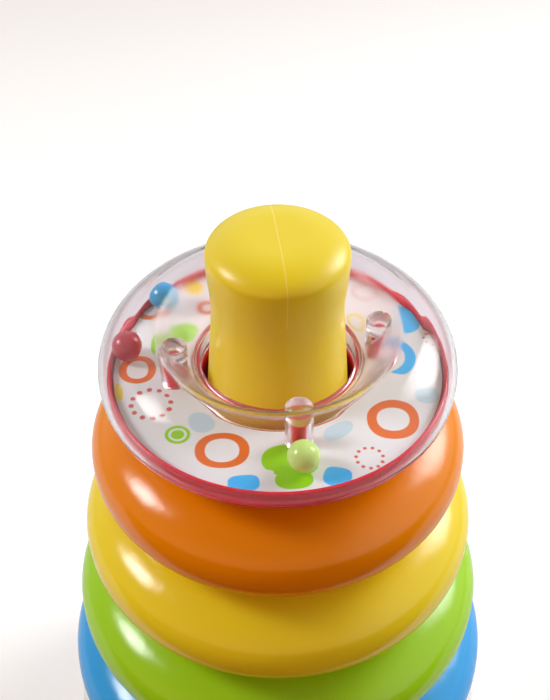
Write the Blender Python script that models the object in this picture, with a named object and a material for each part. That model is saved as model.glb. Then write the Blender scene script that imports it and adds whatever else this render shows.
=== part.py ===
"""Stacking ring toy: a rocking base with a tapered post, four hollow rings and a clear-topped rattle ring.

Metres, +Z up, the floor at z = 0 and the post's axis on x = y = 0. Sizes are in millimetres and MM turns them
into metres. Every round piece is one closed outline of (radius, height) points turned about the axis.
"""

import math

import bmesh
import bpy

MM = 0.001
SIDES = 32
GAP = 0.3

# Base: outside radius, height of the platform that carries the rings, and the flat it stands on.
BASE_R = 67.0
BASE_TOP = 39.7
BASE_FLAT_R = 30.0
BASE_WALL = 2.2
SOCKET_FLOOR = 12.0

# Post: a slow cone under a rounded head.
POST_TOP = 214.4
HEAD_R = 17.8
HEAD_SHOULDER = 11.2
HEAD_DROP = 5.5
NECK_R = 16.8
NECK_Z = 191.8
POST_FLARE = 0.07
POST_WALL = 2.0
POST_FOOT = 12.4

# Rings: name, height of the underside, largest radius, radius of the hole and colour.
RING_H = 29.7
RING_WALL = 1.8
RING_BULGE = 25.6
RING_POWER = 2.27
VENT_R = 1.6
RINGS = (
    ("blue_ring", 40.0, 65.5, 28.6, (0.02, 0.35, 0.80)),
    ("green_ring", 70.0, 60.8, 26.5, (0.22, 0.60, 0.03)),
    ("yellow_ring", 100.0, 56.1, 24.4, (0.90, 0.66, 0.02)),
    ("orange_ring", 130.0, 51.5, 22.3, (0.88, 0.28, 0.01)),
)

# Rattle ring: heights of the tray's underside, the label's top and the tray's rim.
TRAY_BOTTOM = 160.0
TRAY_WALL = 1.8
LEDGE = 169.8
LABEL_T = 0.5
LABEL_TOP = 170.6
TRAY_RIM = 172.6
HUB_R = 20.0
COVER_R = 46.8
COVER_MID = 173.2
COVER_H = 15.4
COVER_BULGE = 23.3
COVER_POWER = 2.2
COVER_WALL = 1.5
FOOT_WALL = 1.8
LABEL_IN = 22.6
LABEL_OUT = 43.1

# Four pegs of the tray stand in four sockets of the cover.
PEG_AT = 27.0
PEG_R = 1.8
PEG_TOP = 178.6
SOCKET_R = 2.15
BOSS_R = 3.5
BOSS_TOP = 183.4
PEG_ANGLES = (-79.0, 11.0, 101.0, 191.0)

# Beads: name, distance from the axis, angle and colour.
BEAD_R = 4.0
BEADS = (
    ("bead_red", 39.8, 175.0, (0.62, 0.02, 0.05)),
    ("bead_blue", 39.8, 143.0, (0.06, 0.36, 0.68)),
    ("bead_green", 35.5, -80.0, (0.40, 0.72, 0.12)),
)


def clear_scene():
    for obj in list(bpy.data.objects):
        bpy.data.objects.remove(obj, do_unlink=True)


def plastic(name, colour, roughness=0.2, alpha=1.0):
    """One plain plastic, named for the piece that wears it."""
    material = bpy.data.materials.new(name)
    material.use_nodes = True
    shader = material.node_tree.nodes["Principled BSDF"]
    shader.inputs["Base Color"].default_value = (*colour, 1.0)
    shader.inputs["Roughness"].default_value = roughness
    shader.inputs["Alpha"].default_value = alpha
    return material


def filleted(corners):
    """The outline through (radius, height, fillet, steps) corners, each one rounded by its own fillet."""
    points = []
    count = len(corners)
    for i, (r, z, fillet, steps) in enumerate(corners):
        if not fillet:
            points.append((r, z))
            continue
        before = corners[i - 1]
        after = corners[(i + 1) % count]
        ar, az = before[0] - r, before[1] - z
        br, bz = after[0] - r, after[1] - z
        a, b = math.hypot(ar, az), math.hypot(br, bz)
        ar, az, br, bz = ar / a, az / a, br / b, bz / b
        half = math.acos(max(-1.0, min(1.0, ar * br + az * bz))) / 2
        back = fillet / math.tan(half)
        mr, mz = ar + br, az + bz
        m = math.hypot(mr, mz)
        reach = fillet / math.sin(half)
        cr, cz = r + mr / m * reach, z + mz / m * reach
        start = math.atan2(z + az * back - cz, r + ar * back - cr)
        end = math.atan2(z + bz * back - cz, r + br * back - cr)
        turn = (end - start + math.pi) % (2 * math.pi) - math.pi
        for k in range(steps + 1):
            angle = start + turn * k / steps
            points.append((cr + fillet * math.cos(angle), cz + fillet * math.sin(angle)))
    return points


def egg(cr, cz, wide, high, power, start, end, steps):
    """Points of a superellipse about (cr, cz), from one angle in degrees to another."""
    points = []
    for k in range(steps + 1):
        t = math.radians(start + (end - start) * k / steps)
        c, s = math.cos(t), math.sin(t)
        r = wide * math.copysign(abs(c) ** (2 / power), c)
        z = high * math.copysign(abs(s) ** (2 / power), s)
        points.append((cr + r, cz + z))
    return points


def turned(mesh, outline, sides=SIDES, outward=True):
    """Turns one closed outline about the axis. A point at radius 0 becomes a single vertex."""
    if not outward:
        outline = outline[::-1]
    columns = []
    for r, z in outline:
        if r < 1e-6:
            columns.append([mesh.verts.new((0.0, 0.0, z * MM))] * sides)
            continue
        column = []
        for k in range(sides):
            angle = 2 * math.pi * k / sides
            column.append(mesh.verts.new((r * math.cos(angle) * MM, r * math.sin(angle) * MM, z * MM)))
        columns.append(column)
    for i, low in enumerate(columns):
        high = columns[(i + 1) % len(columns)]
        if low[0] is low[1] and high[0] is high[1]:
            continue
        for k in range(sides):
            n = (k + 1) % sides
            corners = []
            for vert in (low[k], low[n], high[n], high[k]):
                if vert not in corners:
                    corners.append(vert)
            mesh.faces.new(corners)


def finish(name, mesh, material, sharp=40.0):
    """Stores the mesh as an object of its own, smooth with sharp edges kept."""
    data = bpy.data.meshes.new(name)
    mesh.to_mesh(data)
    mesh.free()
    obj = bpy.data.objects.new(name, data)
    bpy.context.scene.collection.objects.link(obj)
    if material:
        data.materials.append(material)
    data.shade_smooth()
    data.set_sharp_from_angle(angle=math.radians(sharp))
    return obj


def lathe(name, outline, material, sides=SIDES):
    """A solid of one outline. The outline runs anticlockwise, with radius to the right and height up."""
    mesh = bmesh.new()
    turned(mesh, outline, sides)
    return finish(name, mesh, material)


def rod(name, radius, low, high, at_r, at_deg, sides=16):
    """An upright cylinder used as a cutter or as a body to join, standing away from the axis."""
    mesh = bmesh.new()
    x = at_r * math.cos(math.radians(at_deg)) * MM
    y = at_r * math.sin(math.radians(at_deg)) * MM
    rims = []
    for z in (low, high):
        rim = []
        for k in range(sides):
            angle = 2 * math.pi * (k + 0.5) / sides
            spot = (x + radius * math.cos(angle) * MM, y + radius * math.sin(angle) * MM, z * MM)
            rim.append(mesh.verts.new(spot))
        rims.append(rim)
    mesh.faces.new(rims[0][::-1])
    mesh.faces.new(rims[1])
    for k in range(sides):
        n = (k + 1) % sides
        mesh.faces.new((rims[0][k], rims[0][n], rims[1][n], rims[1][k]))
    tool = finish(name, mesh, None)
    tool.hide_render = True
    tool.display_type = "WIRE"
    return tool


def combine(obj, tool, operation):
    step = obj.modifiers.new(tool.name, "BOOLEAN")
    step.operation = operation
    step.solver = "EXACT"
    step.object = tool


def base():
    """Hollow base: a flat to stand on, a rocking curve up to the rim, a platform and the post's socket."""
    socket_r = post_radius(BASE_TOP) + 0.5
    groove = socket_r + 1.2
    outer = filleted((
        (0.0, 0.0, 0, 0),
        (BASE_FLAT_R, 0.0, 0, 0),
        (50.0, 3.6, 0, 0),
        (62.0, 10.0, 0, 0),
        (BASE_R, 19.0, 7.0, 3),
        (BASE_R - 1.5, 32.0, 6.0, 3),
        (60.5, BASE_TOP, 2.5, 2),
        (socket_r, BASE_TOP, 1.0, 2),
        (socket_r, 24.0, 0, 0),
        (groove, 22.5, 0, 0),
        (groove, 19.5, 0, 0),
        (socket_r, 18.0, 0, 0),
        (socket_r, SOCKET_FLOOR, 0, 0),
        (0.0, SOCKET_FLOOR, 0, 0),
    ))
    wall = BASE_WALL
    inner = filleted((
        (0.0, wall, 0, 0),
        (BASE_FLAT_R - 0.4, wall, 0, 0),
        (49.2, 3.6 + wall, 0, 0),
        (60.6, 11.8, 0, 0),
        (BASE_R - wall, 20.5, 5.0, 2),
        (BASE_R - 1.5 - wall, 31.0, 4.5, 2),
        (59.6, BASE_TOP - wall, 0, 0),
        (socket_r + wall, BASE_TOP - wall, 0, 0),
        (socket_r + wall, 25.0, 0, 0),
        (groove + wall, 23.5, 0, 0),
        (groove + wall, 18.5, 0, 0),
        (socket_r + wall, 17.0, 0, 0),
        (socket_r + wall, SOCKET_FLOOR - wall, 0, 0),
        (0.0, SOCKET_FLOOR - wall, 0, 0),
    ))
    mesh = bmesh.new()
    turned(mesh, outer)
    turned(mesh, inner, outward=False)
    obj = finish("rocker_base", mesh, plastic("base_white", (0.80, 0.80, 0.78)))
    vent = rod("base_vent_cutter", 2.0, -2.0, 5.0, 20.0, -90.0, 10)
    combine(obj, vent, "DIFFERENCE")
    return obj


def post_radius(z):
    return NECK_R + POST_FLARE * (NECK_Z - z)


def post():
    """Hollow post: rounded head, narrower neck, slow flare to the foot, and a snap bead inside the socket."""
    shoulder_z = POST_TOP - HEAD_DROP
    head = []
    for k in range(6):
        t = math.pi / 2 * k / 5
        head.append((HEAD_R - HEAD_SHOULDER * (1 - math.cos(t)), shoulder_z + HEAD_DROP * math.sin(t)))
    blend = []
    for k in range(1, 5):
        s = k / 5
        ease = 0.5 - 0.5 * math.cos(math.pi * s)
        blend.append((HEAD_R + (NECK_R - HEAD_R) * ease, shoulder_z + (NECK_Z - shoulder_z) * s))
    foot_r = post_radius(BASE_TOP)
    bead = foot_r + 1.0
    side = [(post_radius(z), z) for z in (160.0, 100.0, 42.0)]
    foot = [(foot_r, 38.0), (foot_r, 23.0), (bead, 21.8), (bead, 20.2), (foot_r, 19.0), (foot_r, POST_FOOT)]
    outer = [(0.0, POST_TOP)] + head[::-1] + blend + [(NECK_R, NECK_Z)] + side + foot
    t = POST_WALL
    inner = [
        (foot_r - t, POST_FOOT),
        (foot_r - t, 40.0),
        (post_radius(100.0) - t, 100.0),
        (NECK_R - t, NECK_Z),
        (HEAD_R - t - 0.1, 204.0),
        (HEAD_R - t - 0.6, 208.6),
        (HEAD_R - t - 3.5, 211.2),
        (HEAD_R - t - 9.0, POST_TOP - t),
        (0.0, POST_TOP - t),
    ]
    return lathe("post", (outer + inner)[::-1], plastic("post_yellow", (0.90, 0.66, 0.05)))


def ring_outline(low, high, hole, widest, bulge, corner, corner_steps, steps):
    """A hollow ring's section: a superellipse outside and a straight hole wall with rounded corners inside."""
    middle = (low + high) / 2
    centre = widest - bulge
    outside = egg(centre, middle, bulge, (high - low) / 2, RING_POWER, -90.0, 90.0, steps)
    inside = filleted((
        (centre - 0.5, high, 0, 0),
        (hole, high, corner, corner_steps),
        (hole, low, corner, corner_steps),
        (centre - 0.5, low, 0, 0),
    ))
    return outside + inside[1:-1]


def ring(name, low, widest, hole, colour):
    """One blow-moulded ring, hollow, with the small vent hole of its moulding underneath."""
    high = low + RING_H
    t = RING_WALL
    mesh = bmesh.new()
    turned(mesh, ring_outline(low, high, hole, widest, RING_BULGE, 3.0, 2, 11))
    cavity = ring_outline(low + t, high - t, hole + t, widest - t, RING_BULGE - t, 1.5, 1, 6)
    turned(mesh, cavity, outward=False)
    obj = finish(name, mesh, plastic(name.replace("_", "_plastic_"), colour))
    vent = rod(name + "_vent_cutter", VENT_R, low - 1.0, low + t + 1.5, widest - RING_BULGE + 2.0, 90.0, 8)
    combine(obj, vent, "DIFFERENCE")
    return obj


def tray():
    """Red tray: a shallow bowl, its rim, a thick hub whose flat top carries the label, and four pegs."""
    low = TRAY_BOTTOM + TRAY_WALL
    outline = filleted((
        (HUB_R, TRAY_BOTTOM, 0.8, 1),
        (33.0, TRAY_BOTTOM, 0, 0),
        (39.8, TRAY_BOTTOM + 2.6, 0, 0),
        (43.9, TRAY_BOTTOM + 6.5, 0, 0),
        (46.2, TRAY_BOTTOM + 9.1, 0, 0),
        (44.6, TRAY_BOTTOM + 9.3, 0, 0),
        (44.6, TRAY_RIM, 0.35, 1),
        (43.6, TRAY_RIM, 0.35, 1),
        (43.6, LEDGE, 0, 0),
        (41.8, LEDGE, 0, 0),
        (41.8, LEDGE - 2.6, 0, 0),
        (38.6, low + 2.4, 0, 0),
        (33.0, low, 0, 0),
        (26.6, low, 0, 0),
        (26.6, LEDGE, 0, 0),
        (HUB_R, LEDGE, 0.5, 1),
    ))
    obj = lathe("rattle_tray", outline, plastic("tray_red", (0.55, 0.005, 0.02)))
    for k, angle in enumerate(PEG_ANGLES):
        peg = rod(f"peg_{k}", PEG_R, TRAY_BOTTOM + 1.0, PEG_TOP, PEG_AT, angle, 12)
        combine(obj, peg, "UNION")
    return obj


def label():
    """Printed disc lying on the tray's ledge and hub, with a hole for each of the four pegs."""
    low = LABEL_TOP - LABEL_T
    outline = [(LABEL_IN, low), (LABEL_OUT, low), (LABEL_OUT, LABEL_TOP), (LABEL_IN, LABEL_TOP)]
    obj = lathe("rattle_label", outline, plastic("label_print", (0.72, 0.69, 0.74), 0.5))
    for k, angle in enumerate(PEG_ANGLES):
        hole = rod(f"label_cutter_{k}", PEG_R + 0.4, low - 1.0, LABEL_TOP + 1.0, PEG_AT, angle, 12)
        combine(obj, hole, "DIFFERENCE")
    return obj


def cover_outline():
    """Dome from its lower edge up and over to the rolled lip, and down the well to the hub, then back inside."""
    t = COVER_WALL
    top = COVER_MID + COVER_H - 1.7
    centre = COVER_R - COVER_BULGE
    outside = [(46.3, 169.5), (46.7, 171.5)]
    outside += egg(centre, COVER_MID, COVER_BULGE, COVER_H, COVER_POWER, 0.0, 50.0, 6)
    lip = [(36.6, top - 0.3), (34.0, top), (32.2, top - 0.1), (30.8, top - 0.8), (29.6, top - 2.1)]
    well = [(27.4, 181.9), (25.2, 179.0), (23.4, 177.0), (21.8, 176.1), (20.3, 175.9)]
    low = LEDGE + GAP
    foot = [(20.3, low), (20.3 + FOOT_WALL, low), (20.3 + FOOT_WALL, 174.5), (22.8, 174.7)]
    inner_well = [(24.6, 175.9), (26.6, 178.1), (28.9, 181.3), (30.9, 183.8), (32.4, 185.0), (34.0, top - t)]
    inside = egg(centre, COVER_MID, COVER_BULGE - t, COVER_H - t, COVER_POWER, 50.0, 0.0, 5)
    return outside + lip + well + foot + inner_well + inside + [(45.2, 171.5), (45.0, 169.5)]


def cover():
    """Clear cover: a domed shell with a central well, and four sockets that take the tray's pegs."""
    obj = lathe("rattle_cover", cover_outline(), plastic("cover_clear", (0.95, 0.95, 0.97), 0.03, 0.25))
    for k, angle in enumerate(PEG_ANGLES):
        boss = rod(f"boss_{k}", BOSS_R, LABEL_TOP + 2 * GAP, BOSS_TOP, PEG_AT, angle, 16)
        combine(obj, boss, "UNION")
    for k, angle in enumerate(PEG_ANGLES):
        bore = rod(f"socket_cutter_{k}", SOCKET_R, LABEL_TOP - 1.0, PEG_TOP + 0.4, PEG_AT, angle, 12)
        combine(obj, bore, "DIFFERENCE")
    return obj


def bead(name, at_r, at_deg, colour):
    """A loose bead resting on the label. Its origin is on the ring's axis, which it travels round."""
    mesh = bmesh.new()
    bmesh.ops.create_uvsphere(mesh, u_segments=14, v_segments=9, radius=BEAD_R * MM)
    x = at_r * math.cos(math.radians(at_deg)) * MM
    y = at_r * math.sin(math.radians(at_deg)) * MM
    bmesh.ops.translate(mesh, verts=mesh.verts, vec=(x, y, (LABEL_TOP + GAP + BEAD_R) * MM))
    return finish(name, mesh, plastic(name + "_plastic", colour), 80.0)


def build():
    clear_scene()
    base()
    post()
    for spec in RINGS:
        ring(*spec)
    tray()
    label()
    cover()
    for spec in BEADS:
        bead(*spec)


build()
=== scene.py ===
"""Stacking ring toy: the looks of every piece, in the order in which the toy is put together.

Sizes are in millimetres until a mesh is stored, and MM turns them into metres. The post's axis is x = y = 0.
"""

import math

import bpy
import numpy as np
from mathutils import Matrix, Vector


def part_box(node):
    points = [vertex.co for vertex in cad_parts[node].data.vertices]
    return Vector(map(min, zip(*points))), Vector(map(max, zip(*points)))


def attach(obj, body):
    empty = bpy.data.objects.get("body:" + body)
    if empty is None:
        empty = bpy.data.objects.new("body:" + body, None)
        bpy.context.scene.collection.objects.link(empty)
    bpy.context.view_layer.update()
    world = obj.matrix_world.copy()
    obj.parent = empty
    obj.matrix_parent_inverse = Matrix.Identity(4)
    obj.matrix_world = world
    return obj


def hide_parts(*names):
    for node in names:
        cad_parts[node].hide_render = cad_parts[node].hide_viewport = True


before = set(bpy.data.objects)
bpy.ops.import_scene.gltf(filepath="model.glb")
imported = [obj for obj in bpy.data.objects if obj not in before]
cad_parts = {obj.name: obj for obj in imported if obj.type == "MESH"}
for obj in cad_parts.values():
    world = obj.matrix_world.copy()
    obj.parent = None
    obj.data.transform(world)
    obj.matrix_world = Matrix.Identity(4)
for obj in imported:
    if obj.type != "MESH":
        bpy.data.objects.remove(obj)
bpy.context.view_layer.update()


# ----------------------------------------------------------------------------------------------------
# Base: one hollow white moulding that rocks on a curved underside, with a platform for the rings and a
# socket for the post. It is blow-moulded in two halves, so a fine parting line runs round its widest part.

MM = 0.001
FACETS = 216
PIN_SIDES = 40
BASE_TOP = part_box("rocker_base")[1].z / MM
BASE_R = 67.0
BASE_SHOULDER_R = 65.5
PARTING_Z = 23.5
ROCKER_FLAT_R = 30.0
ROCKER_REACH = 32.0
ROCKER_CURVE_R = 57.4
BASE_WALL = 2.2
BASE_VENT_R = 2.0
BASE_VENT_AT = 20.0
BASE_WHITE = (230, 230, 228)
SOCKET_FLOOR = 12.0
SOCKET_PLAY = 0.5
GROOVE_DEPTH = 1.2
NECK_R = 16.8
NECK_Z = 191.8
POST_FLARE = 0.07
DRIFT_SIZE = 34
SCUFF_SIZE = 6.5
SCUFF_ROUGHNESS = 0.07
SKIN_SIZE = 13
GRAIN_SIZE = 3.2
SKIN_DEPTH = 0.35


def rounded(corners, turn_step=8.0):
    """The outline through (radius, height, fillet) corners. A corner gives way to the arc of its fillet,
    which touches both sides, with a point for each turn_step degrees."""
    points = []
    for i, (r, z, fillet) in enumerate(corners):
        if not fillet:
            points.append((r, z))
            continue
        here = np.array((r, z))
        back = np.array(corners[i - 1][:2]) - here
        on = np.array(corners[(i + 1) % len(corners)][:2]) - here
        back, on = back / np.linalg.norm(back), on / np.linalg.norm(on)
        half = math.acos(float(np.clip(back @ on, -1, 1))) / 2
        middle = (back + on) / np.linalg.norm(back + on)
        centre = here + middle * fillet / math.sin(half)
        ends = (here + way * fillet / math.tan(half) - centre for way in (back, on))
        start, end = (math.atan2(y, x) for x, y in ends)
        turn = (end - start + math.pi) % (2 * math.pi) - math.pi
        steps = max(2, math.ceil(abs(math.degrees(turn)) / turn_step))
        angles = start + turn * np.arange(steps + 1) / steps
        points += list(zip(centre[0] + fillet * np.cos(angles), centre[1] + fillet * np.sin(angles)))
    return points


def stepped(outline, step, closed=True):
    """The same outline with more points on its long sides, evenly, so that none are over step apart."""
    here = np.array(outline, float)
    after = np.roll(here, -1, 0) if closed else here[1:]
    sides = after - here[: len(after)]
    parts = np.maximum(1, np.ceil(np.linalg.norm(sides, axis=1) / step)).astype(int)
    share = (np.arange(parts.sum()) - np.repeat(np.cumsum(parts) - parts, parts)) / np.repeat(parts, parts)
    points = np.repeat(here[: len(after)], parts, 0) + np.repeat(sides, parts, 0) * share[:, None]
    return points if closed else np.vstack((points, here[-1:]))


def evenly(count, shift=0.0):
    """The same angles at every radius: a full turn in count equal steps, begun shift steps on."""
    turns = 2 * math.pi * (np.arange(count) + shift) / count
    return lambda radii: np.broadcast_to(turns, (len(radii), count))


def turned(name, outlines, angles=evenly(FACETS), lift=None, at=(0.0, 0.0)):
    """A round piece: the point of an outline at angle a is (r cos a, r sin a, z). Outlines run anticlockwise,
    with the radius to the right. One that starts and ends on the axis closes there in one vertex, and any
    other closes on itself. angles gives the angles for an outline's radii, and lift moves the points along
    their normals."""
    spots, faces, used = [], [], 0
    for outline in outlines:
        outline = np.array(outline, float)
        capped = outline[0, 0] < 1e-6
        rows = outline[1:-1] if capped else outline
        turns = angles(rows[:, 0])
        r, z = (np.broadcast_to(rows[:, i : i + 1], turns.shape) for i in (0, 1))
        if lift is not None:
            around = outline[2:] - outline[:-2] if capped else np.roll(rows, -1, 0) - np.roll(rows, 1, 0)
            normal = np.stack((around[:, 1], -around[:, 0]), 1) / np.linalg.norm(around, axis=1)[:, None]
            height = lift(r, z, turns)
            r, z = r + height * normal[:, :1], z + height * normal[:, 1:]
        grid = np.stack((r * np.cos(turns), r * np.sin(turns), z), 2)
        count, sides = turns.shape
        number = used + np.arange(count * sides).reshape(count, sides)
        beside = np.roll(number, -1, 1)
        low, low_n, high, high_n = number, beside, np.roll(number, -1, 0), np.roll(beside, -1, 0)
        if capped:
            low, low_n, high, high_n = low[:-1], low_n[:-1], high[:-1], high_n[:-1]
        faces += np.stack((low, low_n, high_n, high), 2).reshape(-1, 4).tolist()
        spots.append(grid.reshape(-1, 3))
        used += count * sides
        if capped:
            spots.append(np.array([(0.0, 0.0, outline[0, 1]), (0.0, 0.0, outline[-1, 1])]))
            first, last = np.full(sides, used), np.full(sides, used + 1)
            faces += np.stack((first, beside[0], number[0]), 1).tolist()
            faces += np.stack((number[-1], beside[-1], last), 1).tolist()
            used += 2
    spots = np.vstack(spots) + np.array((*at, 0.0))
    data = bpy.data.meshes.new(name)
    data.from_pydata((spots * MM).tolist(), [], faces)
    piece = bpy.data.objects.new(name, data)
    bpy.context.scene.collection.objects.link(piece)
    data.shade_smooth()
    return piece


def joined(piece, tool, operation):
    """The piece with the tool's body joined on or cut out, stored in its mesh. The tool is used up."""
    step = piece.modifiers.new(tool.name, "BOOLEAN")
    step.operation, step.solver, step.object = operation, "EXACT", tool
    bpy.context.view_layer.update()
    made = bpy.data.meshes.new_from_object(piece.evaluated_get(bpy.context.evaluated_depsgraph_get()))
    piece.modifiers.clear()
    piece.data = made
    made.name = piece.name
    bpy.data.objects.remove(tool, do_unlink=True)


def pin(name, radius, low, high, at_r, at_deg, top_fillet=0.0):
    """A short upright cylinder that stands away from the axis."""
    outline = rounded(((0, low, 0), (radius, low, 0), (radius, high, top_fillet), (0, high, 0)), 22.5)
    at = (at_r * math.cos(math.radians(at_deg)), at_r * math.sin(math.radians(at_deg)))
    return turned(name, [outline], evenly(PIN_SIDES, 0.5), at=at)


class Wire:
    """One output of a shader node. Sums written on it add Math nodes to its material."""

    def __init__(self, tree, socket=None):
        self.tree, self.socket = tree, socket

    def node(self, kind, settings=None, sockets=None, out=0):
        """Adds a node: its settings are set first, then each socket gets a value or a link."""
        made = self.tree.nodes.new("ShaderNode" + kind)
        for key, value in (settings or {}).items():
            setattr(made, key, value)
        for key, value in (sockets or {}).items():
            if isinstance(value, Wire):
                self.tree.links.new(value.socket, made.inputs[key])
            else:
                made.inputs[key].default_value = value
        return Wire(self.tree, made.outputs[out])

    def sum(self, operation, a, b):
        """One step of arithmetic on wires or plain numbers."""
        return self.node("Math", {"operation": operation}, {0: a, 1: b})

    def __add__(self, other):
        return self.sum("ADD", self, other)

    def __sub__(self, other):
        return self.sum("SUBTRACT", self, other)

    def __rsub__(self, other):
        return self.sum("SUBTRACT", other, self)

    def __mul__(self, other):
        return self.sum("MULTIPLY", self, other)

    __radd__, __rmul__ = __add__, __mul__

    def below(self, limit, blur):
        """1 where the value is under the limit and 0 above it, with an edge as wide as blur."""
        ends = {"From Min": limit - blur / 2, "From Max": limit + blur / 2, "To Min": 1.0, "To Max": 0.0}
        return self.node("MapRange", {"interpolation_type": "SMOOTHSTEP"}, {"Value": self, **ends})

    def split(self):
        """The three numbers of a vector."""
        made = self.node("SeparateXYZ", {}, {0: self}).socket.node
        return [Wire(self.tree, made.outputs[i]) for i in range(3)]

    def from_axis(self):
        """How far a place is from the post's axis."""
        across, ahead = self.split()[:2]
        return self.sum("POWER", across * across + ahead * ahead, 0.5)

    def beside(self, output):
        """Another output of the same node."""
        return Wire(self.tree, self.socket.node.outputs[output])

    def mixed(self, a, b):
        """Colour a where this is 0 and b where it is 1."""
        return self.node("Mix", {"data_type": "RGBA"}, {0: self, 6: a, 7: b}, 2)


def linear(colour):
    """A colour of 0 to 255 on a screen, as a shader wants it."""
    shares = np.array(colour[:3], float) / 255
    return (*np.where(shares > 0.04045, ((shares + 0.055) / 1.055) ** 2.4, shares / 12.92).tolist(), 1.0)


def start_material(name):
    """A new material, its Principled shader, and its Object coordinates to build a pattern from."""
    material = bpy.data.materials.new(name)
    material.use_nodes = True
    shader = material.node_tree.nodes["Principled BSDF"]
    start = Wire(material.node_tree)
    return material, shader, start.node("TexCoord", out="Object")


def noise(place, size, detail=2.0):
    """Soft cloudy values about 0.5 that change over about size millimetres."""
    return place.node("TexNoise", {}, {"Vector": place, "Scale": 1 / (size * MM), "Detail": detail})


def glossy_plastic(name, colour, roughness, wave=1.0, shade=0.06, sheen=0.0):
    """Moulded plastic: slow drifts of colour, a skin with a faint wave from its mould, and fine scuffs."""
    material, shader, place = start_material(name)
    links = material.node_tree.links
    drift = noise(place, DRIFT_SIZE)
    base = np.array(linear(colour))
    dark = tuple((base * (1 - shade, 1 - shade, 1 - shade, 1)).tolist())
    links.new(drift.mixed(dark, tuple(base.tolist())).socket, shader.inputs["Base Color"])
    scuff = noise(place, SCUFF_SIZE, 4.0) * SCUFF_ROUGHNESS
    links.new((roughness - SCUFF_ROUGHNESS / 2 + scuff).socket, shader.inputs["Roughness"])
    skin = noise(place, SKIN_SIZE) * 0.8 + noise(place, GRAIN_SIZE) * 0.2
    bump = place.node("Bump", {}, {"Strength": 0.5 * wave, "Distance": SKIN_DEPTH * MM, "Height": skin})
    links.new(bump.socket, shader.inputs["Normal"])
    shader.inputs["IOR"].default_value = 1.5
    shader.inputs["Specular IOR Level"].default_value = 0.4
    shader.inputs["Sheen Weight"].default_value = sheen
    shader.inputs["Sheen Roughness"].default_value = 0.25
    return material


def placed(piece, body, node, material):
    """Gives a piece its material, hangs it on the empty of the body that carries it, and hides the CAD node
    it stands in for.
    """
    piece.data.materials.clear()
    piece.data.materials.append(material)
    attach(piece, body)
    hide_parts(node)


def post_radius(z):
    """The post's radius below its neck: it widens evenly down to the foot."""
    return NECK_R + POST_FLARE * (NECK_Z - z)


wall = BASE_WALL
socket_r = post_radius(BASE_TOP) + SOCKET_PLAY
groove_r = socket_r + GROOVE_DEPTH
run = np.linspace(0, 1, 17) * ROCKER_REACH
rocker = list(zip(ROCKER_FLAT_R + run, ROCKER_CURVE_R - np.sqrt(ROCKER_CURVE_R**2 - run**2)))
parting = [(66.73, PARTING_Z - 0.45), (66.82, PARTING_Z - 0.2), (66.82, PARTING_Z + 0.2),
           (66.71, PARTING_Z + 0.45)]
outside = rounded(
    [(0, 0, 0)] + [(r, z, 0) for r, z in rocker] + [(BASE_R, 19.0, 7.0)] + [(r, z, 0) for r, z in parting]
    + [(BASE_SHOULDER_R, 32.0, 6.0), (60.5, BASE_TOP, 2.5), (socket_r, BASE_TOP, 1.0), (socket_r, 24, 0),
       (groove_r, 22.5, 0), (groove_r, 19.5, 0), (socket_r, 18, 0), (socket_r, SOCKET_FLOOR, 0.8),
       (0, SOCKET_FLOOR, 0)])
inside = rounded((
    (0, wall, 0), (29.6, wall, 4), (49.2, 3.6 + wall, 30), (60.6, 11.8, 8), (BASE_R - wall, 20.5, 5),
    (BASE_SHOULDER_R - wall, 31, 4.5), (59.6, BASE_TOP - wall, 1), (socket_r + wall, BASE_TOP - wall, 1),
    (socket_r + wall, 25, 0), (groove_r + wall, 23.5, 0), (groove_r + wall, 18.5, 0),
    (socket_r + wall, 17, 0), (socket_r + wall, SOCKET_FLOOR - wall, 1), (0, SOCKET_FLOOR - wall, 0)))
base = turned("base_moulding", [stepped(outside, 2.5, False), inside[::-1]])
joined(base, pin("base_vent", BASE_VENT_R, -2.0, 5.0, BASE_VENT_AT, -90.0), "DIFFERENCE")
placed(base, "base", "rocker_base",
       glossy_plastic("base_plastic", BASE_WHITE, 0.36, wave=0.35, shade=0.02))


# ----------------------------------------------------------------------------------------------------
# Post: one hollow yellow moulding with a rounded head, a slightly narrower neck and a slow flare down to its
# foot, which snaps into the base. Its two mould halves meet in a fine line up both sides and over the head,
# where a pale painted highlight is laid along it.

POST_YELLOW = (226, 203, 40)
HEAD_R = 17.8
HEAD_SHOULDER = 11.2
HEAD_DROP = 5.5
POST_WALL = 2.0
FOOT_END = 12.4
SNAP_PROUD = 1.0
SEAM_DEG = -82.6
SEAM_HEIGHT = 0.08
SEAM_HALF = 0.3
SEAM_START_Z = 41.0
SEAM_TRIMMED_Z = 196.0
SEAM_FADE = 4.0
SEAM_LEAST_R = 1.6
SEAM_POINTS = (-0.9, -0.3, -0.2, -0.1, 0.0, 0.1, 0.2, 0.3, 0.9)
# The colour, strength and width of the pale painted highlight along the seam over the head.
SEAM_HIGHLIGHT = (250, 226, 150)
SEAM_HIGHLIGHT_STRENGTH = 0.6
SEAM_HIGHLIGHT_LINE = (0.09, 0.12)

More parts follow.
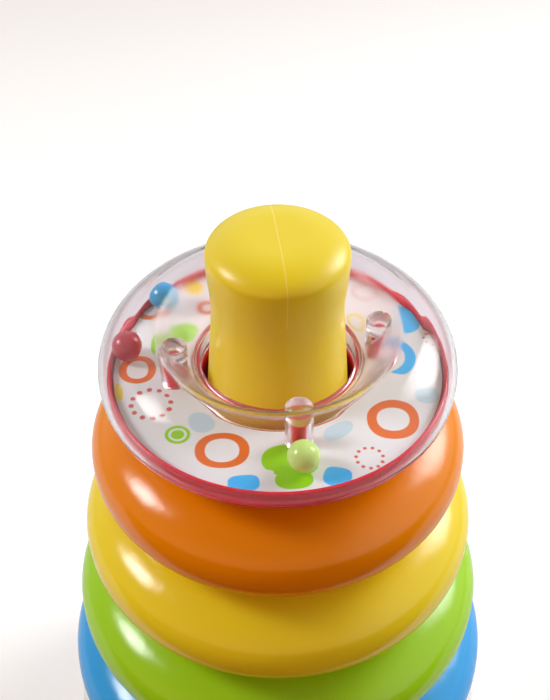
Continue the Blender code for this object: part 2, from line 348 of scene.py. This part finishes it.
post_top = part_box("post")[1].z / MM
shoulder_z = post_top - HEAD_DROP
quarter = np.linspace(0, math.pi / 2, 26)
head = np.stack((HEAD_R - HEAD_SHOULDER * (1 - np.cos(quarter)), shoulder_z + HEAD_DROP * np.sin(quarter)), 1)
share = np.linspace(0, 1, 15)[1:]
neck = np.stack((HEAD_R + (NECK_R - HEAD_R) * (0.5 - 0.5 * np.cos(math.pi * share)),
                 shoulder_z + (NECK_Z - shoulder_z) * share), 1)
foot_r = post_radius(BASE_TOP)
foot = [(post_radius(42), 42), (foot_r, 38), (foot_r, 23), (foot_r + SNAP_PROUD, 21.8),
        (foot_r + SNAP_PROUD, 20.2), (foot_r, 19), (foot_r, FOOT_END)]
bore = [(foot_r - POST_WALL, FOOT_END), (foot_r - POST_WALL, 40), (post_radius(100) - POST_WALL, 100),
        (NECK_R - POST_WALL, NECK_Z), (15.7, 204), (15.2, 208.6), (12.3, 211.2), (6.8, post_top - POST_WALL),
        (0, post_top - POST_WALL)]
crown = stepped([(0, post_top), tuple(head[-1])], 0.9, False)
side = stepped(np.vstack((head[::-1], neck, foot)), 3.0, False)
profile = np.vstack((crown[:-1], side, stepped(bore, 6.0, False)))
last_ridge_row = len(crown) + len(side) - 2


def seam_angles(r):
    """Angles that crowd together at both seams: set distances from the seam, then even shares of the rest."""
    near = np.array(SEAM_POINTS) / np.maximum(r, SEAM_LEAST_R)[:, None]
    edge = near[:, -1:]
    rest = edge + (math.pi - 2 * edge) * np.linspace(0, 1, 110)[None, 1:-1]
    half = np.concatenate((near, rest), 1)
    return math.radians(SEAM_DEG) + np.concatenate((half, half + math.pi), 1)


def seam_ridge(r, z, turns):
    """A ridge that falls away from the seam as a cosine. It starts above the base's socket, is trimmed low up
    the side and ends under the head, where the line is only a pale painted highlight. Rows are counted from
    the bore's top, and the ridge runs down inside the bore too."""
    off = np.abs(r * np.sin(turns - math.radians(SEAM_DEG)))
    smooth = (z < SEAM_START_Z) | (np.arange(len(r)) > last_ridge_row)[:, None]
    ridge = SEAM_HEIGHT * (0.5 + 0.5 * np.cos(math.pi * np.minimum(off / SEAM_HALF, 1)))
    ridge *= 0.3 + 0.7 * np.clip((z - SEAM_TRIMMED_Z) / SEAM_FADE, 0, 1)
    return np.where(smooth, 0.0, ridge)


post = turned("post_moulding", [profile[::-1]], seam_angles, seam_ridge)
spots = np.empty(len(post.data.vertices) * 3, np.float32)
post.data.vertices.foreach_get("co", spots)
x, y, z = spots.reshape(-1, 3).T / MM
# Each point's distance from the seam, grown below the head: it masks the pale painted highlight that stands
# in for light catching the ridge over the head.
off = np.abs(x * math.sin(math.radians(SEAM_DEG)) - y * math.cos(math.radians(SEAM_DEG)))
off += np.clip((SEAM_TRIMMED_Z + SEAM_FADE - z) / (2 * SEAM_FADE), 0, 1)
post.data.attributes.new("seam_highlight_off", "FLOAT", "POINT").data.foreach_set("value", off.astype(np.float32))
material = glossy_plastic("post_plastic", POST_YELLOW, 0.32)
shader = material.node_tree.nodes["Principled BSDF"]
place = Wire(material.node_tree, shader.inputs["Base Color"].links[0].from_socket)
# Painted highlight: a pale line along the seam, laid on the yellow over the head and faded out below it.
line = place.node("Attribute", {"attribute_name": "seam_highlight_off"}, out="Fac").below(*SEAM_HIGHLIGHT_LINE)
highlighted = (line * SEAM_HIGHLIGHT_STRENGTH).mixed(place, linear(SEAM_HIGHLIGHT))
material.node_tree.links.new(highlighted.socket, shader.inputs["Base Color"])
placed(post, "base", "post", material)


# ----------------------------------------------------------------------------------------------------
# Rings: four hollow rings, each blow-moulded in one colour, that drop over the post and rest on one another.
# Each has a rounded section with a straight hole, and underneath the small vent that its moulding leaves.

RING_BULGE = 25.6
RING_POWER = 2.27
RING_WALL = 1.8
RING_CORNER = 3.0
VENT_R = 1.6
# Each ring's colour name, the radius of its hole, and its colour.
RINGS = (
    ("blue", 28.6, (50, 156, 226)),
    ("green", 26.5, (152, 204, 24)),
    ("yellow", 24.4, (228, 206, 34)),
    ("orange", 22.3, (226, 132, 0)),
)


def superellipse(cr, cz, wide, high, power, start, end, steps):
    """Points about (cr, cz), from one angle in degrees to another: wide times the cosine and high times the
    sine, each raised to 2 / power with its sign kept."""
    t = np.radians(np.linspace(start, end, steps + 1))
    c, s = np.cos(t), np.sin(t)
    return np.stack((cr + wide * np.sign(c) * np.abs(c) ** (2 / power),
                     cz + high * np.sign(s) * np.abs(s) ** (2 / power)), 1)


def ring_section(low, high, hole, widest, bulge, corner):
    """A superellipse outside, from the underside to the top, then the straight wall of the hole."""
    centre = widest - bulge
    outer = superellipse(centre, (low + high) / 2, bulge, (high - low) / 2, RING_POWER, -90, 90, 96)
    inset = centre - 0.5
    inner = rounded(((inset, high, 0), (hole, high, corner), (hole, low, corner), (inset, low, 0)))
    return stepped(np.vstack((outer, inner[1:-1])), 1.6)


for colour_name, hole, colour in RINGS:
    low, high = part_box(colour_name + "_ring")
    widest, low, high = high.x / MM, low.z / MM, high.z / MM
    skin = ring_section(low, high, hole, widest, RING_BULGE, RING_CORNER)
    cavity = ring_section(low + RING_WALL, high - RING_WALL, hole + RING_WALL, widest - RING_WALL,
                          RING_BULGE - RING_WALL, 1.5)
    ring = turned("ring_" + colour_name, [skin, cavity[::-1]])
    vent = pin("vent_" + colour_name, VENT_R, low - 1, low + RING_WALL + 1.5, widest - RING_BULGE + 2, 90)
    joined(ring, vent, "DIFFERENCE")
    placed(ring, colour_name, colour_name + "_ring",
           glossy_plastic(colour_name + "_skin", colour, 0.18))


# ----------------------------------------------------------------------------------------------------
# Rattle tray: a shallow red bowl moulded with a hub round the post, a ledge that carries the printed disc, a
# rim inside the clear cover's edge, and four pegs that press into the cover.

TRAY_RED = (212, 16, 42)
TRAY_WALL = 1.8
LEDGE = 169.8
TRAY_RIM = 172.6
HUB_R = 20.0
PEG_AT = 27.0
PEG_R = 1.8
PEG_TOP = 178.6
PEG_ANGLES = (-79.0, 11.0, 101.0, 191.0)

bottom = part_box("rattle_tray")[0].z / MM
bowl = rounded((
    (HUB_R, bottom, 0.8), (33, bottom, 12), (39.8, bottom + 2.6, 10), (43.9, bottom + 6.5, 8),
    (46.2, bottom + 9.1, 0.3), (44.6, bottom + 9.3, 0), (44.6, TRAY_RIM, 0.45), (43.6, TRAY_RIM, 0.45),
    (43.6, LEDGE, 0.2), (41.8, LEDGE, 0.3), (41.8, LEDGE - 2.6, 2), (38.6, bottom + 4.2, 6),
    (33, bottom + TRAY_WALL, 12), (26.6, bottom + TRAY_WALL, 0.8), (26.6, LEDGE, 0.3), (HUB_R, LEDGE, 0.5)))
tray = turned("tray_moulding", [stepped(bowl, 1.6)])
for k, angle in enumerate(PEG_ANGLES):
    joined(tray, pin(f"peg_{k}", PEG_R, bottom + 1, PEG_TOP, PEG_AT, angle, 0.5), "UNION")
placed(tray, "rattle", "rattle_tray", glossy_plastic("tray_plastic", TRAY_RED, 0.16, sheen=0.1))


# ----------------------------------------------------------------------------------------------------
# Label: a printed film disc that lies on the tray's ledge under the cover, with a hole for each of the four
# pegs. Loose rounded shapes, rings and circles of dots are printed on a pale ground.

LABEL_IN = 22.6
LABEL_OUT = 43.1
LABEL_TURNS = 800
LABEL_ROWS = 96
PEG_ROOM = 0.4
PAPER = (228, 229, 231)
PAPER_DRIFT = 0.985
PALE_STRENGTH = 0.75
INK_EDGE = 0.3
NO_INK = 9.0
INKS = {
    "orange": (222, 108, 36),
    "green": (146, 210, 24),
    "blue": (66, 184, 250),
    "yellow": (238, 214, 70),
    "pale": (178, 210, 226),
    "dots": (206, 96, 84),
}
# Rings of ink: centre x and y, half width and half height, and the hole's half width and half height.
INK_RINGS = {
    "orange": ((-13.6, -29.2, 6.7, 5.8, 4.2, 3.9), (-36.7, -0.9, 5.0, 5.1, 2.9, 3.4),
               (28.9, -18.7, 6.6, 6.8, 4.1, 4.0), (-35, 23, 4.5, 4.5, 2.8, 2.7),
               (-20, 24.2, 3, 3, 1.5, 1.5), (4, 33.5, 5.6, 5.2, 3.4, 3.2)),
    "yellow": ((21.6, 17.7, 2.9, 3.9, 2.1, 3.0),),
}
# Patches of ink: centre x and y, half width and half height, turn in degrees and squareness.
INK_PATCHES = {
    "green": ((3, -32.6, 7, 5.2, -8, 2.2), (3.9, -38.6, 4.6, 2.9, 4, 2.3), (-26, 13.4, 4.4, 3.9, 20, 2.3),
              (-31.8, 8.8, 1.6, 3.6, -8, 2), (-24.8, -24, 3.2, 3.1, 0, 2), (-9, 36.5, 4.6, 3.4, 12, 2.2)),
    "blue": ((-8.1, -39.7, 3.8, 2.5, 6, 3), (14.3, -37.7, 3.4, 3, -14, 3), (15, 38, 3.8, 2.7, -20, 2.6)),
    "yellow": ((-24, 32.7, 2.6, 2.9, 0, 2.2), (-41, -9.3, 1.2, 3.3, 12, 2)),
    "pale": ((-19, -19.5, 3.3, 3.8, 20, 2.2), (15, -22.5, 4.4, 2.5, 40, 2.2),
             (38.2, -10.2, 3.1, 3.1, 0, 2.2)),
}
# Patches that are cut: a half disc, a moon with its bite, a leaf's notch, and a target's unprinted line.
HALF_DISC, HALF_DISC_FROM = (34, 18.8, 5.8, 5.8, 0, 2), 33.4
MOON, MOON_BITE = (31.8, 3.7, 4.8, 6.2, 0, 2), (29.6, 3.7, 3.9, 4.4, 0, 2)
LEAF_NOTCH = (-2.4, -36.4, 1.5, 0.9, 0, 2)
TARGET_LINE, TARGET_LINE_HALF = (-24.8, -24, 2.0, 1.9, 0, 2), 0.3
# Circles of dots: centre x and y, the circle's radius, how many dots, and a dot's radius.
DOT_CIRCLES = ((-32.2, -13.4, 5.1, 12, 0.72), (22.3, -31.7, 3.3, 11, 0.48), (42.4, 11.2, 2.6, 9, 0.42),
               (-40.3, 11.5, 2.4, 9, 0.42), (25, 31, 3.4, 11, 0.5))


def to_oval(x, y, cx, cy, wide, high, turn=0.0, power=2.2):
    """How far a point lies outside a rounded shape, along the line from its centre. Inside it is negative.
    The shape's edge is where the offsets over its half sizes, each raised to power, add up to 1."""
    c, s = math.cos(math.radians(turn)), math.sin(math.radians(turn))
    u, v = (x - cx) * c + (y - cy) * s, (y - cy) * c - (x - cx) * s
    away = np.hypot(u, v) + 1e-6
    return away - away / (np.abs(u / wide) ** power + np.abs(v / high) ** power + 1e-9) ** (1 / power)


label_low, label_high = (corner.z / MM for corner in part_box("rattle_label"))
a = 2 * math.pi * np.arange(LABEL_TURNS) / LABEL_TURNS
r = np.linspace(LABEL_IN, LABEL_OUT, LABEL_ROWS)
edge_r = np.concatenate((r, [LABEL_OUT, LABEL_IN]))
edge_z = np.concatenate((np.full(LABEL_ROWS, label_high), [label_low, label_low]))
flat = np.ones_like(a)
grid = np.stack([np.outer(*pair) for pair in ((edge_r, np.cos(a)), (edge_r, np.sin(a)), (edge_z, flat))], 2)
number = np.arange(grid.shape[0] * LABEL_TURNS).reshape(grid.shape[:2])
beside, outward = np.roll(number, -1, 1), np.roll(number, -1, 0)
faces = np.stack((number, outward, np.roll(beside, -1, 0), beside), 2).reshape(-1, 4)
data = bpy.data.meshes.new("label_disc")
data.from_pydata((grid.reshape(-1, 3) * MM).tolist(), [], faces.tolist())
label = bpy.data.objects.new("label_disc", data)
bpy.context.scene.collection.objects.link(label)
x, y = grid[..., 0].ravel(), grid[..., 1].ravel()
reach = {ink: np.full(len(x), NO_INK) for ink in INKS}
for ink, patches in INK_PATCHES.items():
    for patch in patches:
        reach[ink] = np.minimum(reach[ink], to_oval(x, y, *patch))
for ink, rings in INK_RINGS.items():
    for cx, cy, wide, high, hole_wide, hole_high in rings:
        solid, gap = to_oval(x, y, cx, cy, wide, high), to_oval(x, y, cx, cy, hole_wide, hole_high)
        reach[ink] = np.minimum(reach[ink], np.maximum(solid, -gap))
half_disc = np.maximum(to_oval(x, y, *HALF_DISC), HALF_DISC_FROM - x)
moon = np.maximum(to_oval(x, y, *MOON), -to_oval(x, y, *MOON_BITE))
reach["blue"] = np.minimum(reach["blue"], np.minimum(half_disc, moon))
reach["green"] = np.maximum(reach["green"], -to_oval(x, y, *LEAF_NOTCH))
reach["green"] = np.maximum(reach["green"], TARGET_LINE_HALF - np.abs(to_oval(x, y, *TARGET_LINE)))
for cx, cy, circle_r, count, dot_r in DOT_CIRCLES:
    turn = 2 * math.pi * (np.arange(count) + 0.3) / count
    dx, dy = cx + circle_r * np.cos(turn), cy + circle_r * np.sin(turn)
    nearest = np.hypot(x[:, None] - dx, y[:, None] - dy).min(1) - dot_r
    reach["dots"] = np.minimum(reach["dots"], nearest)
for ink, values in reach.items():
    data.attributes.new("ink_" + ink, "FLOAT", "POINT").data.foreach_set("value", values.astype(np.float32))

material, shader, place = start_material("label_print")
colour = noise(place, 9).mixed(linear([c * PAPER_DRIFT for c in PAPER]), linear(PAPER))
for ink, tint in INKS.items():
    printed = place.node("Attribute", {"attribute_name": "ink_" + ink}, out="Fac").below(0.0, INK_EDGE)
    strength = PALE_STRENGTH if ink == "pale" else 1.0
    colour = (printed * strength).mixed(colour, linear(tint))
material.node_tree.links.new(colour.socket, shader.inputs["Base Color"])
material.node_tree.links.new((0.3 + noise(place, 5) * 0.1).socket, shader.inputs["Roughness"])
for k, angle in enumerate(PEG_ANGLES):
    hole = pin(f"peg_hole_{k}", PEG_R + PEG_ROOM, label_low - 1, label_high + 1, PEG_AT, angle)
    joined(label, hole, "DIFFERENCE")
placed(label, "rattle", "rattle_label", material)


# ----------------------------------------------------------------------------------------------------
# Cover: one clear moulding. A dome rises from the tray's edge to a rolled lip, and a well drops from the lip
# to the hub. Four hollow bosses under the well take the tray's pegs, which holds the rattle ring shut.

COVER_MID = 173.2
COVER_H = 15.4
COVER_BULGE = 23.3
COVER_POWER = 2.2
COVER_WALL = 1.2
COVER_EDGE_Z = 169.5
COVER_BORE = 20.3
COVER_SPACING = 0.45
LIP_DROP = 1.7
FOOT_WALL = 1.8
BOSS_R = 3.5
BOSS_TOP = 183.4
SOCKET_R = 2.15
GAP = 0.3
WELL_MATTE_R = 32.0
WELL_MATTE = 0.17
CLEAR = (250, 249, 252)
CLEAR_IN_WELL = (251, 238, 240)
CLEAR_TO_LAMPS = (253, 253, 254)
CLEAR_SHINE = 0.2


def flowing(points, steps, blur):
    """A curve through the points, a cubic for each stretch, spaced out evenly and then evened along its
    length by a bell-shaped average that is blur millimetres wide. Its ends stay where they are."""
    p = np.array(points, float)
    q = np.vstack((2 * p[0] - p[1], p, 2 * p[-1] - p[-2]))
    t = (np.arange(steps) / steps)[None, :, None]
    a, b, c, d = (q[i : len(q) - 3 + i, None] for i in range(4))
    curve = b + 0.5 * t * (c - a + t * (2 * a - 5 * b + 4 * c - d + t * (3 * (b - c) + d - a)))
    curve = np.vstack((curve.reshape(-1, 2), p[-1:]))
    far = np.concatenate(([0], np.cumsum(np.linalg.norm(np.diff(curve, axis=0), axis=1))))
    even = np.linspace(0, far[-1], 1 + round(far[-1] / COVER_SPACING))
    curve = np.stack([np.interp(even, far, curve[:, i]) for i in (0, 1)], 1)
    width = np.minimum(blur, 0.01 + np.minimum(even, far[-1] - even) / 2)
    weight = np.exp(-0.5 * ((even[:, None] - even[None]) / width[:, None]) ** 2)
    return weight @ curve / weight.sum(1)[:, None]


cover_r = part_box("rattle_cover")[1].x / MM
lip_z = COVER_MID + COVER_H - LIP_DROP
dome = superellipse(cover_r - COVER_BULGE, COVER_MID, COVER_BULGE, COVER_H, COVER_POWER, 0, 50, 20)
well = [(36.6, lip_z - 0.3), (34, lip_z), (32.2, lip_z - 0.1), (30.8, lip_z - 0.8), (29.6, lip_z - 2.1),
        (27.4, 181.9), (25.2, 179), (23.4, 177), (21.9, 176.1), (COVER_BORE, 175.9)]
over = flowing([(46.3, COVER_EDGE_Z), (46.7, 171.5), *map(tuple, dome), *well], 5, 0.9)
along = np.gradient(over, axis=0)
inward = np.stack((-along[:, 1], along[:, 0]), 1) / np.linalg.norm(along, axis=1)[:, None]
under = over + inward * COVER_WALL
foot_out = COVER_BORE + FOOT_WALL
under = under[(under[:, 0] > foot_out + 0.5) & (under[:, 1] > COVER_EDGE_Z)]
low = LEDGE + GAP
foot = rounded(((COVER_BORE, 176.6, 0), (COVER_BORE, low, 0.4), (foot_out, low, 0.4), (foot_out, 174.6, 0.5),
                (23.4, 175.2, 0)))[1:-1]
edge = [(over[0, 0] - COVER_WALL, over[0, 1])]
shell = np.vstack((over, stepped(foot, 1.0, False), under[::-1], edge))
cover = turned("clear_cover", [shell])
for k, angle in enumerate(PEG_ANGLES):
    joined(cover, pin(f"boss_{k}", BOSS_R, label_high + 2 * GAP, BOSS_TOP, PEG_AT, angle, 0.6), "UNION")
for k, angle in enumerate(PEG_ANGLES):
    socket = pin(f"socket_{k}", SOCKET_R, label_high - 1, PEG_TOP + PEG_ROOM, PEG_AT, angle, 0.4)
    joined(cover, socket, "DIFFERENCE")
cover.data.set_sharp_from_angle(angle=math.radians(35))

material, shader, place = start_material("cover_clear")
links = material.node_tree.links
shader.inputs["IOR"].default_value = 1.49
shader.inputs["Transmission Weight"].default_value = 1.0
shader.inputs["Specular Tint"].default_value = (CLEAR_SHINE, CLEAR_SHINE, CLEAR_SHINE, 1.0)
shader.inputs["Sheen Weight"].default_value = 0.06
shader.inputs["Sheen Roughness"].default_value = 0.3
in_well = place.from_axis().below(WELL_MATTE_R * MM, 3.0 * MM)
links.new(in_well.mixed(linear(CLEAR), linear(CLEAR_IN_WELL)).socket, shader.inputs["Base Color"])
links.new((in_well * WELL_MATTE + 0.02 + noise(place, 6) * 0.03).socket, shader.inputs["Roughness"])
flow = place.node("Bump", {}, {"Strength": 0.25, "Distance": 0.2 * MM, "Height": noise(place, 11)})
links.new(flow.socket, shader.inputs["Normal"])
# To the rays that light what is under it, the cover is simply clear.
through = place.node("BsdfTransparent", {}, {"Color": linear(CLEAR_TO_LAMPS)})
shadow = place.node("LightPath", out="Is Shadow Ray")
lamps = shadow.sum("MAXIMUM", shadow, shadow.beside("Is Diffuse Ray"))
glass = place.node("MixShader", {}, {0: lamps, 1: Wire(material.node_tree, shader.outputs[0]), 2: through})
links.new(glass.socket, material.node_tree.nodes["Material Output"].inputs["Surface"])
placed(cover, "rattle", "rattle_cover", material)


# ----------------------------------------------------------------------------------------------------
# Beads: three loose solid balls of moulded plastic. Nothing fixes them: they roll on the printed disc, in
# the closed channel between the dome and the well.

BEAD_R = 4.0
BEAD_ROWS = 49
BEAD_SIDES = 72
BEAD_COLOURS = {"red": (174, 6, 30), "blue": (50, 154, 210), "green": (198, 232, 130)}

for colour_name, colour in BEAD_COLOURS.items():
    low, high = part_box("bead_" + colour_name)
    at = ((low.x + high.x) / 2 / MM, (low.y + high.y) / 2 / MM)
    middle = (low.z + high.z) / 2 / MM
    t = np.linspace(-math.pi / 2, math.pi / 2, BEAD_ROWS)
    r = BEAD_R * np.cos(t)
    r[[0, -1]] = 0.0
    half_circle = np.stack((r, middle + BEAD_R * np.sin(t)), 1)
    ball = turned("ball_" + colour_name, [half_circle], evenly(BEAD_SIDES), at=at)
    placed(ball, colour_name + "_bead", "bead_" + colour_name,
           glossy_plastic("ball_plastic_" + colour_name, colour, 0.18))


# ----------------------------------------------------------------------------------------------------
# Studio: a pale floor, two soft boxes at the sides, and a white backdrop. What the toy reflects is a room,
# with grey walls at the sides, a white one on the right, a warm one in front, and a dark floor before it.

FLOOR_SIZE = 8.0
FLOOR_TO_OBJECT = (216, 216, 218)
FLOOR_IN_FRONT = (40, 36, 34)
DARK_FRONT_Y = -0.075
BACKDROP_FROM = 1.0
EYE_DISTANCE = 0.312
EYE_ELEVATION = 43.41
EYE_PITCH = 42.80
EYE_LENS = 61.2
EYE_SENSOR = 36.0
EYE_SHIFT = -0.004
AIM_Z = 0.1726
WALL_BACK = (0.9, 0.9, 0.92)
WALL_SIDE = (0.34, 0.34, 0.35)
WALL_TOP = (0.10, 0.10, 0.10)
WALL_RIGHT = (1.1, 1.1, 1.1)
WALL_FRONT = (1.40, 0.74, 0.36)
WALL_THROUGH = (0.85, 0.82, 0.83)
# Where each wall begins on its own axis of a unit sphere round the toy, and how wide its soft edge is.
FRONT_FROM = (-0.35, 0.9)
TOP_FROM = (0.5, 0.7)
BACK_FROM = (0.45, 0.5)
RIGHT_FROM = (0.6, 0.5)
BOX_PEAK = 2.25
# Each soft box: its name, its middle, its two sides and its power.
SOFT_BOXES = (
    ("left_box", (-0.60, 0.0, 0.59), (0.28, 0.28), 3.3),
    ("right_box", (0.535, 0.272, 0.485), (0.42, 0.42), 3.7),
)

data = bpy.data.meshes.new("floor")
s = FLOOR_SIZE / 2
data.from_pydata([(-s, -s, 0), (s, -s, 0), (s, s, 0), (-s, s, 0)], [], [(0, 1, 2, 3)])
floor = bpy.data.objects.new("floor", data)
bpy.context.scene.collection.objects.link(floor)
material, shader, place = start_material("floor_pale")
links = material.node_tree.links
seen = place.node("LightPath", out="Is Camera Ray")
in_front = place.split()[1].below(DARK_FRONT_Y, 0.01)
tone = in_front.mixed(linear(FLOOR_TO_OBJECT), linear(FLOOR_IN_FRONT))
tone = seen.beside("Is Transmission Ray").mixed(tone, linear(FLOOR_TO_OBJECT))
links.new(seen.mixed(tone, (1, 1, 1, 1)).socket, shader.inputs["Base Color"])
far = seen * (1 - place.from_axis().below(BACKDROP_FROM, 0.9))
links.new(far.mixed((0, 0, 0, 1), (1, 1, 1, 1)).socket, shader.inputs["Emission Color"])
shader.inputs["Emission Strength"].default_value = 1.0
shader.inputs["Roughness"].default_value = 0.9
shader.inputs["Specular IOR Level"].default_value = 0.0
data.materials.append(material)

for name, place, size, power in SOFT_BOXES:
    lamp = bpy.data.lights.new(name, "AREA")
    lamp.shape, lamp.size, lamp.size_y, lamp.energy = "RECTANGLE", *size, power
    box = bpy.data.objects.new(name, lamp)
    box.location = place
    way = -np.array(place) + (0, 0, AIM_Z)
    flat = math.hypot(way[0], way[1])
    box.rotation_euler = (math.pi / 2 + math.atan2(way[2], flat), 0, math.atan2(way[1], way[0]) - math.pi / 2)
    box.visible_camera = False
    bpy.context.scene.collection.objects.link(box)
    lamp.use_nodes = True
    glow = Wire(lamp.node_tree)
    spot = glow.node("NewGeometry", out="Parametric").split()
    level = BOX_PEAK
    for axis in spot[:2]:
        edge = axis * 2 - 1
        level = (1 - edge * edge) * level
    lamp.node_tree.links.new(level.socket, lamp.node_tree.nodes["Emission"].inputs["Strength"])

world = bpy.data.worlds.new("studio")
world.use_nodes = True
air = Wire(world.node_tree)
across, ahead, up = air.node("TexCoord", out="Generated").split()
glassy = air.node("LightPath", out="Is Transmission Ray")
room = ahead.below(*FRONT_FROM).mixed((*WALL_SIDE, 1), (*WALL_FRONT, 1))
room = up.below(*TOP_FROM).mixed((*WALL_TOP, 1), room)
room = ahead.below(*BACK_FROM).mixed((*WALL_BACK, 1), room)
room = across.below(*RIGHT_FROM).mixed((*WALL_RIGHT, 1), room)
room = glassy.mixed(room, (*WALL_THROUGH, 1))
room = glassy.beside("Is Camera Ray").mixed(room, (1, 1, 1, 1))
world.node_tree.links.new(room.socket, world.node_tree.nodes["Background"].inputs["Color"])
bpy.context.scene.world = world
bpy.context.scene.view_settings.view_transform = "Standard"

lens = bpy.data.cameras.new("eye")
lens.lens, lens.sensor_width, lens.shift_x = EYE_LENS, EYE_SENSOR, EYE_SHIFT
lens.clip_start, lens.clip_end = 0.01, 50
eye = bpy.data.objects.new("eye", lens)
up = math.radians(EYE_ELEVATION)
eye.location = (0, -EYE_DISTANCE * math.cos(up), AIM_Z + EYE_DISTANCE * math.sin(up))
eye.rotation_euler = (math.radians(90 - EYE_PITCH), 0, 0)
bpy.context.scene.collection.objects.link(eye)
bpy.context.scene.camera = eye
